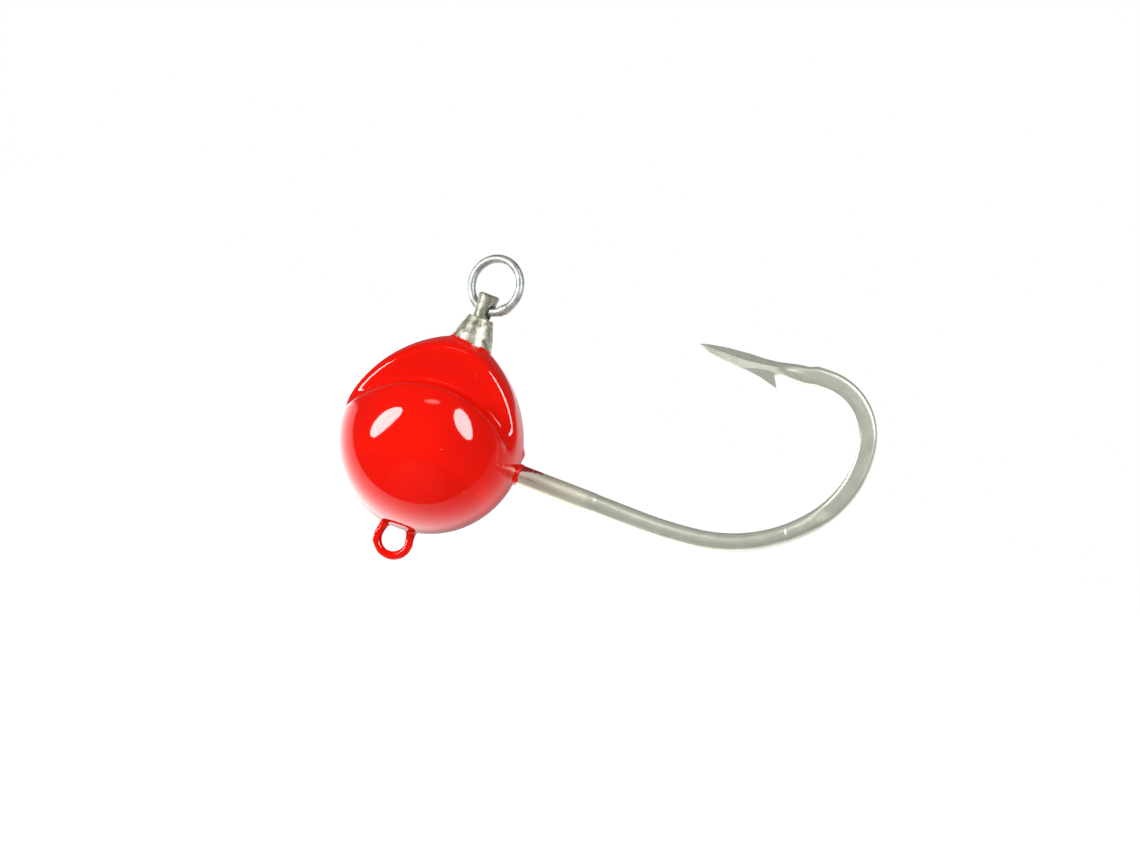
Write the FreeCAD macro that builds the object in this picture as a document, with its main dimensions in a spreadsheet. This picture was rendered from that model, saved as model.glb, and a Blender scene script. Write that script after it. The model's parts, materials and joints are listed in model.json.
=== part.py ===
import FreeCAD, Part
import math
import os
import Sketcher
from FreeCAD import Placement, Rotation, Vector

# Round-head jig head: a painted lead head cast round a big single hook, a
# ball-bearing swivel with its line ring, and a small wire eye underneath.
# The swivel turns about +Z, the hook shank runs along +X, and the hook lies in
# the XZ plane. The origin is on the swivel axis, level with the middle of the
# line ring. Heights in the sheet are measured up from the middle of the ball.

SIZES = {
    # head
    "ball_radius": 15.6,
    "ball_below": 28.0,      # middle of the ball, below the origin
    "ball_ahead": 0.7,       # middle of the ball, ahead of the swivel axis
    "crown_radius": 21.2,    # long arc that draws the ball up to the swivel
    "crown_start": 71.0,     # degrees from the swivel axis
    "crown_mouth": 2.6,      # hidden in the space that the swivel's barrel takes
    "cheek_half": 5.3,       # half the width between the two flat cheeks
    "arch_ahead": 0.35,      # middle of the arch, ahead of the ball's middle
    "arch_radius": 16.7,
    "arch_height": 9.6,
    "arch_turn": 44.5,       # degrees each side, then straight flanks
    "coat": 0.15,
    "collar_start": 15.2,    # where the coat begins to gather round the shank
    "collar_length": 1.4,
    "collar_foot": 3.1,
    "collar_mouth": 1.9,
    # hook
    "wire_radius": 1.6,
    "hook_ring": 3.1,
    "hook_ring_x": 3.8,
    "shank_end": 36.9,
    "barb_half_width": 0.55,
    # assist eye
    "staple_wire": 0.62,
    "staple_loop": 2.7,
    "staple_below": 17.7,
    "staple_lean": 10.0,     # degrees that each leg leans inwards
    "staple_leg": 6.0,
    "staple_bend": 1.6,
    "staple_foot": 2.2,
    "staple_coat": 0.13,
    "staple_coat_leg": 3.4,  # enough leg for the coat to run into the ball's own
    # swivel
    "barrel_radius": 3.5,
    "barrel_bore": 2.55,
    "barrel_foot": 8.0,
    "barrel_floor": 9.2,
    "barrel_shoulder": 17.6,
    "seam_height": 19.1,
    "seam_radius": 3.2,
    "nose_foot": 17.7,
    "nose_top": 22.1,
    "nose_top_radius": 2.15,
    "post_radius": 1.4,
    "post_head_radius": 1.77,
    "post_top": 26.3,
    "post_round": 0.3,
    "flange_radius": 2.45,
    "flange_foot": 15.9,
    "flange_top": 16.9,
    "running_fit": 0.05,
    "bearing_radius": 0.39,
    "race_radius": 2.135,
    "race_height": 17.3,
    "tail_radius": 1.72,
    "tail_flange_top": 10.2,
    "tail_foot": 3.3,
    "tail_hole": 1.15,
    "tail_hole_height": 4.95,
    "tail_ring": 3.8,
    "tail_ring_height": 1.35,
    "tail_wire": 0.7,
    # line ring
    "ring_radius": 4.5,
    "ring_wire": 0.71,
    "ring_pivot": 23.55,
    "ring_lean": 5.0,        # degrees the ring leans back in its own plane
    "swivel_turn": 22.0,     # degrees the ring is turned from the hook's plane
    "hole_throat": 0.88,
    "hole_mouth": 1.44,
    "throat_half": 0.3,
}
BEARING_COUNT = 14

# Bend of the hook from the end of the shank: radius in mm, turn in degrees.
HOOK_BEND = [(74.6, 7.8), (26.8, 43.3), (17.8, 50.9), (9.65, 79.6), (37.0, 3.4)]
# Spear from the end of the bend: distance along it in mm, half its depth.
SPEAR = [(0.0, 1.6), (3.2, 1.42), (12.2, 1.2), (19.75, 0.14)]
# Barb: distance along the spear and depth below its middle.
BARB = [(4.7, 0.3), (6.55, 1.45), (5.4, 3.45), (8.7, 2.3), (12.2, 1.3), (12.2, 0.3)]

doc = FreeCAD.newDocument("jig_head")
sheet = doc.addObject("Spreadsheet::Sheet", "sizes")
for row, (alias, number) in enumerate(SIZES.items(), start=1):
    sheet.set(f"A{row}", alias)
    sheet.set(f"B{row}", str(number))
    sheet.setAlias(f"B{row}", alias)
doc.recompute()

nodes = []


def size(alias):
    return float(sheet.get(alias))


def cell(alias):
    return "sizes." + alias


def keep(item, name):
    # A finished sub-part: its label names its file.
    item.Label = name
    nodes.append(item)
    return item


def plane(body, role):
    return next(item for item in body.Origin.OriginFeatures if item.Role == role)


def new_sketch(body, name, role):
    sketch = body.newObject("Sketcher::SketchObject", name)
    sketch.AttachmentSupport = [(plane(body, role), "")]
    sketch.MapMode = "FlatFace"
    return sketch


def bind(sketch, kind, *where, to, value=1.0):
    # A dimension bound to an expression on the sheet. value is what the drawn
    # outline already measures, which keeps an arc on its own side.
    index = sketch.addConstraint(Sketcher.Constraint(kind, *where, value))
    sketch.setExpression(f"Constraints[{index}]", to)


def pin(sketch, edge, end, across, up):
    # Hold one end of an edge at a place given by two expressions.
    for kind, place in (("DistanceX", across), ("DistanceY", up)):
        bind(sketch, kind, -1, 1, edge, end, to=place)


def closed_outline(sketch, corners):
    # Straight edges through corners that are pairs of expressions.
    count = len(corners)
    turn = 2 * math.pi / count
    start = [Vector(10 + math.cos(turn * n), 10 + math.sin(turn * n), 0) for n in range(count)]
    for n in range(count):
        sketch.addGeometry(Part.LineSegment(start[n], start[(n + 1) % count]), False)
    for n in range(count):
        sketch.addConstraint(Sketcher.Constraint("Coincident", n, 2, (n + 1) % count, 1))
        pin(sketch, n, 1, *corners[n])


def turned_body(name, corners):
    # A lathe-turned piece: corners are (radius, height) above the ball's middle.
    body = doc.addObject("PartDesign::Body", name)
    sketch = new_sketch(body, name + "_outline", "XZ_Plane")
    closed_outline(sketch, corners)
    turned = body.newObject("PartDesign::Revolution", name + "_turned")
    turned.Profile = sketch
    turned.ReferenceAxis = (sketch, ["V_Axis"])
    turned.Angle = 360.0
    body.setExpression(".Placement.Base.z", "-" + cell("ball_below"))
    return body


def head_form(name, skin, depth):
    # Ball and crown turned in one. skin is the expression, and depth the value,
    # of how far the form lies inside the painted surface.
    ball, crown = size("ball_radius") - depth, size("crown_radius") - depth
    start = math.radians(size("crown_start"))
    mouth = size("crown_mouth")
    join = Vector(ball * math.sin(start), ball * math.cos(start), 0)
    middle = join * ((ball - crown) / ball)
    top = middle.y + math.sqrt(crown ** 2 - (mouth - middle.x) ** 2)

    body = doc.addObject("PartDesign::Body", name)
    sketch = new_sketch(body, name + "_outline", "XZ_Plane")
    up = math.pi / 2
    rise = math.atan2(top - middle.y, mouth - middle.x)
    lower = Part.ArcOfCircle(Part.Circle(Vector(0, 0, 0), Vector(0, 0, 1), ball), -up, up - start)
    upper = Part.ArcOfCircle(Part.Circle(middle, Vector(0, 0, 1), crown), up - start, rise)
    sketch.addGeometry(lower, False)
    sketch.addGeometry(upper, False)
    sketch.addGeometry(Part.LineSegment(Vector(mouth, top, 0), Vector(0, top, 0)), False)
    sketch.addGeometry(Part.LineSegment(Vector(0, top, 0), Vector(0, -ball, 0)), False)
    sketch.addConstraint(Sketcher.Constraint("Coincident", 0, 3, -1, 1))
    sketch.addConstraint(Sketcher.Constraint("Tangent", 0, 2, 1, 1))
    sketch.addConstraint(Sketcher.Constraint("Coincident", 1, 2, 2, 1))
    sketch.addConstraint(Sketcher.Constraint("Coincident", 2, 2, 3, 1))
    sketch.addConstraint(Sketcher.Constraint("Coincident", 3, 2, 0, 1))
    sketch.addConstraint(Sketcher.Constraint("Horizontal", 2))
    sketch.addConstraint(Sketcher.Constraint("PointOnObject", 2, 2, -2))
    sketch.addConstraint(Sketcher.Constraint("PointOnObject", 0, 1, -2))
    bind(sketch, "Radius", 0, to=f"{cell('ball_radius')} - {skin}", value=ball)
    bind(sketch, "Radius", 1, to=f"{cell('crown_radius')} - {skin}", value=crown)
    bind(sketch, "DistanceY", -1, 1, 0, 2, value=join.y,
         to=f"({cell('ball_radius')} - {skin}) * cos({cell('crown_start')} * 1 deg)")
    bind(sketch, "DistanceX", -1, 1, 1, 2, to=cell("crown_mouth"), value=mouth)
    turned = body.newObject("PartDesign::Revolution", name + "_turned")
    turned.Profile = sketch
    turned.ReferenceAxis = (sketch, ["V_Axis"])
    turned.Angle = 360.0
    body.setExpression(".Placement.Base.x", "-" + cell("ball_ahead"))
    body.setExpression(".Placement.Base.z", "-" + cell("ball_below"))
    return body


def cheek_cutter(name, skin, side):
    # The block that flattens one cheek: an arch with straight flanks, with open
    # air above it. side is -1 for the right-hand cheek and +1 for the left.
    radius = size("arch_radius") - skin
    turn = math.radians(size("arch_turn"))
    middle = size("arch_height") - size("arch_radius")
    reach = size("ball_radius") * 1.5
    bend = Vector(radius * math.sin(turn), 0, middle + radius * math.cos(turn))
    foot = Vector(reach, 0, bend.z - (reach - bend.x) * math.tan(turn))
    crest = Vector(0, 0, middle + radius)
    roof = size("ball_radius") * 2

    def flip(point):
        return Vector(-point.x, 0, point.z)

    edges = [
        Part.LineSegment(flip(foot), flip(bend)).toShape(),
        Part.Arc(flip(bend), crest, bend).toShape(),
        Part.LineSegment(bend, foot).toShape(),
        Part.LineSegment(foot, Vector(reach, 0, roof)).toShape(),
        Part.LineSegment(Vector(reach, 0, roof), Vector(-reach, 0, roof)).toShape(),
        Part.LineSegment(Vector(-reach, 0, roof), flip(foot)).toShape(),
    ]
    cutter = doc.addObject("Part::Feature", name)
    cutter.Shape = Part.Face(Part.Wire(edges)).extrude(Vector(0, side * reach, 0))
    cutter.Placement = Placement(Vector(size("arch_ahead") - size("ball_ahead"),
                                        side * (size("cheek_half") - skin), -size("ball_below")), Rotation())
    return cutter


def cut(name, base, *tools):
    result = doc.addObject("Part::Cut", name)
    result.Base = base
    result.Tool = tools[0] if len(tools) == 1 else fuse(name + "_tools", *tools)
    return result


def fuse(name, *parts):
    result = doc.addObject("Part::MultiFuse", name)
    result.Shapes = list(parts)
    return result


def flat_cheeked(name, skin):
    # skin names a sheet cell, or nothing for the outer surface.
    depth = size(skin) if skin else 0.0
    form = head_form(name + "_form", cell(skin) if skin else "0", depth)
    right = cheek_cutter(name + "_right_cheek", depth, -1)
    left = cheek_cutter(name + "_left_cheek", depth, 1)
    return cut(name, form, right, left)


def bend_path(start, heading, steps):
    # Tangent runs and arcs in the XZ plane. A step is (length, 0) for a straight
    # run or (radius, turn) for an arc; a positive turn goes from +X towards +Z.
    edges = []
    here = start
    for amount, turn in steps:
        ahead = math.radians(heading)
        if turn == 0:
            there = here + Vector(math.cos(ahead), 0, math.sin(ahead)) * amount
            edges.append(Part.LineSegment(here, there).toShape())
        else:
            side = math.copysign(1.0, turn)
            middle = here + Vector(-math.sin(ahead), 0, math.cos(ahead)) * amount * side

            def swing(part):
                angle = math.radians(heading + turn * part)
                return middle + Vector(math.sin(angle), 0, -math.cos(angle)) * amount * side

            there = swing(1.0)
            edges.append(Part.Arc(here, swing(0.5), there).toShape())
            heading += turn
        here = there
    return edges, here, heading


def round_wire(edges, radius):
    # A round bar swept along a path, starting square to its first edge.
    path = Part.Wire(edges)
    first = edges[0]
    section = Part.Wire(Part.makeCircle(radius, first.valueAt(first.FirstParameter),
                                        first.tangentAt(first.FirstParameter)))
    return path.makePipeShell([section], True, True)


def staple_path(leg, with_feet):
    lean, loop = size("staple_lean"), size("staple_loop")
    tilt = math.radians(lean)
    steps = [(leg, 0), (loop, 180 + 2 * lean), (leg, 0)]
    start = Vector(-loop * math.cos(tilt) + leg * math.sin(tilt), 0,
                   -size("staple_below") + loop * math.sin(tilt) + leg * math.cos(tilt))
    heading = -90.0 - lean
    if with_feet:
        bend, foot = size("staple_bend"), size("staple_foot")
        start = start + Vector(-bend * math.cos(tilt) - foot, 0, bend * math.sin(tilt) + bend)
        steps = [(foot, 0), (bend, heading)] + steps + [(bend, heading), (foot, 0)]
        heading = 0.0
    edges, _, _ = bend_path(start, heading, steps)
    return edges


def head_frame():
    return Placement(Vector(-size("ball_ahead"), 0, -size("ball_below")), Rotation())


def swivel_frame():
    return Placement(Vector(0, 0, -size("ball_below")), Rotation())


def feature(name, shape, place):
    item = doc.addObject("Part::Feature", name)
    item.Shape = shape
    item.Placement = place
    return item


def hook_shape():
    # Ringed eye inside the head, straight shank, one long bend, then a spear
    # with a barb on its inner side.
    wire = size("wire_radius")
    shank_start = size("hook_ring_x") + size("hook_ring")
    steps = [(size("shank_end") - shank_start, 0)] + HOOK_BEND
    edges, end, heading = bend_path(Vector(shank_start, 0, 0), 0.0, steps)
    bar = round_wire(edges, wire)
    ring = Part.makeTorus(size("hook_ring"), wire, Vector(size("hook_ring_x"), 0, 0))

    ahead = Vector(math.cos(math.radians(heading)), 0, math.sin(math.radians(heading)))
    inward = Vector(-ahead.z, 0, ahead.x)
    spear = []
    for (near, thick), (far, thin) in zip(SPEAR, SPEAR[1:]):
        spear.append(Part.makeCone(thick, thin, far - near, end + ahead * near, ahead))
    corners = [end + ahead * along + inward * down for along, down in BARB]
    across = Vector(0, size("barb_half_width"), 0)
    face = Part.Face(Part.makePolygon([corner - across for corner in corners + corners[:1]]))
    barb = face.extrude(across * 2)
    return bar.fuse([ring, barb] + spear).removeSplitter()


def torus(name, radius, wire):
    ring = doc.addObject("Part::Torus", name)
    ring.setExpression("Radius1", cell(radius))
    ring.setExpression("Radius2", cell(wire))
    return ring


def line_ring():
    # The ring stands in its own plane and leans a little about the post's hole.
    ring = torus("line_ring", "ring_radius", "ring_wire")
    upright = Rotation(Vector(1, 0, 0), 90)
    lean = Rotation(Vector(0, 1, 0), size("ring_lean"))
    turn = Rotation(Vector(0, 0, 1), -size("swivel_turn"))
    pivot = Vector(0, 0, size("ring_pivot") - size("ball_below"))
    middle = pivot + turn.multVec(lean.multVec(Vector(0, 0, size("ring_radius"))))
    ring.Placement = Placement(middle, turn.multiply(lean).multiply(upright))
    return keep(ring, "line_ring")


def swivel_post():
    # Turned post: flange inside the barrel, neck, and a swollen head with a
    # hole that flares both ways, so the ring can lean and swing in it.
    post = turned_body("post_blank", [
        ("0", cell("flange_foot")),
        (cell("flange_radius"), cell("flange_foot")),
        (cell("flange_radius"), cell("flange_top")),
        (cell("post_radius"), cell("flange_top")),
        (cell("post_radius"), cell("nose_top")),
        (cell("post_head_radius"), f"{cell('post_top')} - {cell('post_round')}"),
        (f"{cell('post_head_radius')} - {cell('post_round')}", cell("post_top")),
        ("0", cell("post_top")),
    ])
    throat, mouth = size("hole_throat"), size("hole_mouth")
    half, edge = size("throat_half"), size("post_head_radius")
    flare = []
    for side in (-1, 1):
        start = Vector(side * half, 0, size("ring_pivot"))
        flare.append(Part.makeCone(throat, mouth, edge - half, start, Vector(side, 0, 0)))
    bore = Part.makeCylinder(throat, 2 * half, Vector(-half, 0, size("ring_pivot")), Vector(1, 0, 0))
    hole = feature("post_hole", bore.fuse(flare), swivel_frame())
    post_cut = cut("swivel_post", post, hole)
    post_cut.Placement = Placement(Vector(), Rotation(Vector(0, 0, 1), -size("swivel_turn")))
    return keep(post_cut, "swivel_post")


def barrel():
    return keep(turned_body("swivel_barrel", [
        (cell("tail_radius"), cell("barrel_foot")),
        (cell("barrel_radius"), cell("barrel_foot")),
        (cell("barrel_radius"), cell("barrel_shoulder")),
        (cell("seam_radius"), cell("seam_height")),
        (cell("barrel_bore"), cell("seam_height")),
        (cell("barrel_bore"), cell("barrel_floor")),
        (cell("tail_radius"), cell("barrel_floor")),
    ]), "swivel_barrel")


def nose():
    inside = f"{cell('post_radius')} + {cell('running_fit')}"
    return keep(turned_body("swivel_nose", [
        (inside, cell("nose_foot")),
        (cell("barrel_bore"), cell("nose_foot")),
        (cell("barrel_bore"), cell("seam_height")),
        (cell("seam_radius"), cell("seam_height")),
        (cell("nose_top_radius"), cell("nose_top")),
        (inside, cell("nose_top")),
    ]), "swivel_nose")


def tail_post():
    blank = turned_body("tail_blank", [
        ("0", cell("tail_foot")),
        (cell("tail_radius"), cell("tail_foot")),
        (cell("tail_radius"), cell("barrel_floor")),
        (cell("flange_radius"), cell("barrel_floor")),
        (cell("flange_radius"), cell("tail_flange_top")),
        ("0", cell("tail_flange_top")),
    ])
    reach = size("barrel_radius")
    bore = Part.makeCylinder(size("tail_hole"), 2 * reach,
                             Vector(-reach, 0, size("tail_hole_height")), Vector(1, 0, 0))
    return keep(cut("tail_post", blank, feature("tail_bore", bore, swivel_frame())), "tail_post")


def tail_ring():
    ring = torus("tail_ring", "tail_ring", "tail_wire")
    ring.Placement = Placement(Vector(0, 0, size("tail_ring_height") - size("ball_below")),
                               Rotation(Vector(1, 0, 0), 90))
    return keep(ring, "tail_ring")


def bearings():
    # Loose balls between the post's flange and the nose.
    for number in range(BEARING_COUNT):
        name = f"bearing_ball_{number + 1:02d}"
        ball = doc.addObject("Part::Sphere", name)
        ball.setExpression("Radius", cell("bearing_radius"))
        angle = f"{number} * 360 deg / {BEARING_COUNT}"
        ball.setExpression(".Placement.Base.x", f"{cell('race_radius')} * cos({angle})")
        ball.setExpression(".Placement.Base.y", f"{cell('race_radius')} * sin({angle})")
        ball.setExpression(".Placement.Base.z", f"{cell('race_height')} - {cell('ball_below')}")
        keep(ball, name)


def barrel_space():
    # The whole space that the barrel keeps the lead and the paint out of.
    space = doc.addObject("Part::Cylinder", "barrel_space")
    space.setExpression("Radius", cell("barrel_radius"))
    space.setExpression("Height", f"{cell('nose_top')} - {cell('barrel_foot')}")
    space.setExpression(".Placement.Base.z", f"{cell('barrel_foot')} - {cell('ball_below')}")
    return space


def write_nodes():
    os.makedirs("parts", exist_ok=True)
    for item in doc.Objects:
        if "Invalid" in item.State or "Error" in item.State:
            raise RuntimeError(f"{item.Name} failed: {item.State}")
    for node in nodes:
        shape = node.Shape
        if shape.isNull() or not shape.isValid():
            raise RuntimeError(f"{node.Label} has no valid shape")
        shape.exportStep(f"parts/{node.Label}.step")
        print(f"{node.Label:18s} solids {len(shape.Solids)}  volume {shape.Volume:10.3f}")


def shank_collar():
    # The coat gathers in a short cone where the shank leaves the ball.
    collar = doc.addObject("Part::Cone", "shank_collar")
    collar.setExpression("Radius1", cell("collar_foot"))
    collar.setExpression("Radius2", cell("collar_mouth"))
    collar.setExpression("Height", cell("collar_length"))
    place = head_frame()
    place.Base.x += size("collar_start")
    place.Rotation = Rotation(Vector(0, 1, 0), 90)
    collar.Placement = place
    return collar


def cast_in(name, *inserts):
    # The lead takes whatever room its inserts leave. Returns the bare casting too,
    # which the coat is taken from.
    cast = flat_cheeked("cast_form", "coat")
    keep(cut(name, cast, *inserts), name)
    return cast


def paint_over(name, cast, *inserts):
    skin = flat_cheeked("skin_form", "")
    radius = size("staple_wire") + size("staple_coat")
    eye_coat = feature("eye_coat", round_wire(staple_path(size("staple_coat_leg"), False), radius),
                       head_frame())
    painted = fuse("painted_form", skin, eye_coat, shank_collar())
    keep(cut(name, painted, cast, *inserts), name)


def assemble():
    hook = keep(feature("hook", hook_shape(), head_frame()), "hook")
    eye = round_wire(staple_path(size("staple_leg"), True), size("staple_wire"))
    staple = keep(feature("assist_eye", eye, head_frame()), "assist_eye")
    barrel()
    nose()
    swivel_post()
    tail, link = tail_post(), tail_ring()
    line_ring()
    bearings()
    space = barrel_space()
    cast = cast_in("head_core", hook, staple, space, tail, link)
    paint_over("head_paint", cast, hook, staple, space)
    doc.recompute()


assemble()
write_nodes()
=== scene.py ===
import json
import math

import bpy
import numpy as np
from mathutils import Matrix, Vector, noise


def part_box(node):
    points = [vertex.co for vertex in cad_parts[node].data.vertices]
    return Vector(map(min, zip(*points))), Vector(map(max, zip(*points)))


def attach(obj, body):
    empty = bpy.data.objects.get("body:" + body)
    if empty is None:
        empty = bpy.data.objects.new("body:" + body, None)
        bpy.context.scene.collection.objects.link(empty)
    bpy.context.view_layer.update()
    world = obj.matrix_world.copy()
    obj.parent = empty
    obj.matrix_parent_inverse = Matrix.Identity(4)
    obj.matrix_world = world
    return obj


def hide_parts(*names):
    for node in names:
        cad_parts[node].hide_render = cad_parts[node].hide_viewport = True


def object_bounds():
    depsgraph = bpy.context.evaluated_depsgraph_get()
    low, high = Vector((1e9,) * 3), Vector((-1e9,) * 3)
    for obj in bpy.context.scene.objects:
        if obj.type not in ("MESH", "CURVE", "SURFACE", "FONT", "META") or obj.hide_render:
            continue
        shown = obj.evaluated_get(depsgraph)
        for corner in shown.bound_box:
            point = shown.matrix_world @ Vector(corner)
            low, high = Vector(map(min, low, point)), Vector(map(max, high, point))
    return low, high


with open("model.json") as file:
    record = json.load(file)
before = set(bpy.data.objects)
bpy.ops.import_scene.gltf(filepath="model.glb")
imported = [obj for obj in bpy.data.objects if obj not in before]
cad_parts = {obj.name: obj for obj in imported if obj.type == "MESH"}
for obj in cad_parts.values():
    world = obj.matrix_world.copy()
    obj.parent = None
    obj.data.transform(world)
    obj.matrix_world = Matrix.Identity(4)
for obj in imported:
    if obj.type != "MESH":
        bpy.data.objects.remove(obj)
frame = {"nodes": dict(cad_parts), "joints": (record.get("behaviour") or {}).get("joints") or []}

mm = 0.001
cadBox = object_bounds()
print("frame loaded with", len(frame["nodes"]), "CAD nodes")


def boxOf(node):
    # lowest and highest corner in millimetres
    low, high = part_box(node)
    return np.array(low) / mm, np.array(high) / mm


coreLow, coreHigh = boxOf("head_core")
ringLow, ringHigh = boxOf("line_ring")
barrelRadius = boxOf("swivel_barrel")[1][1]
bearingFoot = boxOf("bearing_ball_01")[0][2]
coatThickness = 0.15
leadRadius = (coreHigh[1] - coreLow[1]) / 2
ballCentre = np.array([coreLow[0] + leadRadius, 0.0, coreLow[2] + leadRadius])
ringJoint = next(joint for joint in frame["joints"] if joint["name"] == "ring_swing")


def linear(code):
    # sRGB hex to linear red, green, blue with full alpha
    parts = [int(code[i:i + 2], 16) / 255 for i in (1, 3, 5)]
    return [p / 12.92 if p <= 0.04045 else ((p + 0.055) / 1.055) ** 2.4 for p in parts] + [1.0]


def addNode(tree, kind, settings=None, values=None, links=None):
    node = tree.nodes.new(kind)
    for key, value in (settings or {}).items():
        setattr(node, key, value)
    for key, value in (values or {}).items():
        node.inputs[key].default_value = value
    for key, socket in (links or {}).items():
        tree.links.new(socket, node.inputs[key])
    return node


def newMaterial(name):
    material = bpy.data.materials.new(name)
    material.use_nodes = True
    tree = material.node_tree
    tree.nodes.clear()
    return material, tree


def perMm(size):
    # texture scale whose pattern repeats about every size millimetres
    return 1 / (size * mm)


def meshPiece(name, points, faces, material, body="head", sharp=None, attributes=None,
              place=None):
    # points in millimetres, in the frame of the whole part or counted from place
    coords = np.asarray(points, float)
    if place is not None:
        coords = coords + place
    mesh = bpy.data.meshes.new(name)
    mesh.from_pydata((coords * mm).tolist(), [], faces)
    mesh.polygons.foreach_set("use_smooth", [True] * len(mesh.polygons))
    for key, data in (attributes or {}).items():
        layer = mesh.attributes.new(key, "FLOAT", "POINT")
        layer.data.foreach_set("value", np.asarray(data, np.float32))
    mesh.update()
    if sharp:
        mesh.set_sharp_from_angle(angle=math.radians(sharp))
    piece = bpy.data.objects.new(name, mesh)
    bpy.context.scene.collection.objects.link(piece)
    mesh.materials.append(material)
    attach(piece, body)
    return piece


def tubeFaces(rings, around, closed=False, start=0):
    # quads between rings of points, each ring holding the same number
    faces = []
    for i in range(rings if closed else rings - 1):
        a, b = start + i * around, start + ((i + 1) % rings) * around
        for j in range(around):
            k = (j + 1) % around
            faces.append((a + j, a + k, b + k, b + j))
    return faces


def bendPath(start, heading, steps, pitch):
    # Tangent runs and arcs in the XZ plane, as in a wire bender: (length, 0) is a
    # straight run and (radius, turn) an arc. Returns places, headings, distances.
    places, headings, distances = [], [], []
    here = np.array(start, float)
    gone = 0.0
    for amount, turn in steps:
        length = amount if turn == 0 else amount * abs(math.radians(turn))
        count = max(2, round(length / pitch))
        side = math.copysign(1, turn) if turn else 0
        a0 = math.radians(heading)
        middle = here + np.array([-math.sin(a0), 0, math.cos(a0)]) * amount * side
        for n in range(count + 1):
            part = n / count
            angle = a0 + math.radians(turn) * part
            if turn:
                place = middle + np.array([math.sin(angle), 0, -math.cos(angle)]) * amount * side
            else:
                place = here + np.array([math.cos(a0), 0, math.sin(a0)]) * amount * part
            if n or not places:
                places.append(place)
                headings.append(angle)
                distances.append(gone + length * part)
        here = places[-1]
        heading += turn
        gone += length
    return np.array(places), np.array(headings), np.array(distances)


def lumps(points, size, seed=0.0):
    # smooth random values, about -1 to 1, that change over size millimetres
    shift = Vector((seed, seed * 1.7, seed * 0.3))
    return np.array([noise.noise(Vector(p) / size + shift) for p in points]) * 2


def smooth(low, high, value):
    part = np.clip((value - low) / (high - low), 0, 1)
    return part * part * (3 - 2 * part)


def redPowderCoat():
    # Polyester powder coat baked on cast lead: deep saturated red, wet gloss, the faint
    # waviness of a thick coat that flowed, and a few dust nibs under the surface, each raised as a bump and
    # painted with a pale pink glint.
    coat = {
        "red": "#EA1302", "deep": "#DE0E04", "nibAndPaintedGlint": "#F3A79B", "roughness": (0.0385, 0.0825), "ior": 1.5,
        "cloud": 7.0, "peel": 1.6, "bump": 0.06, "depth": 0.05,
        "nibSpacing": 2.6, "nibEdge": 0.045, "nibCore": 0.0135, "nibRise": 4.0,
    }
    material, tree = newMaterial("glossRedPowderCoat")
    where = addNode(tree, "ShaderNodeTexCoord").outputs["Object"]
    cloud = addNode(tree, "ShaderNodeTexNoise", values={"Scale": perMm(coat["cloud"]), "Detail": 2.0},
                    links={"Vector": where})
    colour = addNode(tree, "ShaderNodeMix", {"data_type": "RGBA"},
                     {"A": linear(coat["deep"]), "B": linear(coat["red"])},
                     {"Factor": cloud.outputs["Fac"]})
    nibs = addNode(tree, "ShaderNodeTexVoronoi",
                   values={"Scale": perMm(coat["nibSpacing"]), "Randomness": 1.0},
                   links={"Vector": where})
    nibAndPaintedGlint = addNode(tree, "ShaderNodeMapRange", {"interpolation_type": "SMOOTHSTEP"},
                  {"From Min": coat["nibEdge"], "From Max": coat["nibCore"]},
                  {"Value": nibs.outputs["Distance"]})
    # the nibs' pale pink is a painted glint laid over the red; only their bump is real
    paintedGlintSpecks = addNode(tree, "ShaderNodeMix", {"data_type": "RGBA"}, {"B": linear(coat["nibAndPaintedGlint"])},
                       {"A": colour.outputs["Result"], "Factor": nibAndPaintedGlint.outputs["Result"]})
    peel = addNode(tree, "ShaderNodeTexNoise", values={"Scale": perMm(coat["peel"]), "Detail": 3.0},
                   links={"Vector": where})
    gloss = addNode(tree, "ShaderNodeMapRange",
                    values={"To Min": coat["roughness"][0], "To Max": coat["roughness"][1]},
                    links={"Value": peel.outputs["Fac"]})
    height = addNode(tree, "ShaderNodeMath", {"operation": "MULTIPLY_ADD"}, {1: coat["nibRise"]},
                     {0: nibAndPaintedGlint.outputs["Result"], 2: peel.outputs["Fac"]})
    bump = addNode(tree, "ShaderNodeBump",
                   values={"Strength": coat["bump"], "Distance": coat["depth"] * mm},
                   links={"Height": height.outputs["Value"]})
    shader = addNode(tree, "ShaderNodeBsdfPrincipled", values={"IOR": coat["ior"]},
                     links={"Base Color": paintedGlintSpecks.outputs["Result"], "Roughness": gloss.outputs["Result"],
                            "Normal": bump.outputs["Normal"]})
    addNode(tree, "ShaderNodeOutputMaterial", links={"Surface": shader.outputs["BSDF"]})
    return material


grainRange = {"From Min": 0.3, "From Max": 0.7}     # where a noise's values mostly lie
blotchRange = {"From Min": 0.32, "From Max": 0.66}  # narrower, for more contrast


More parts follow.
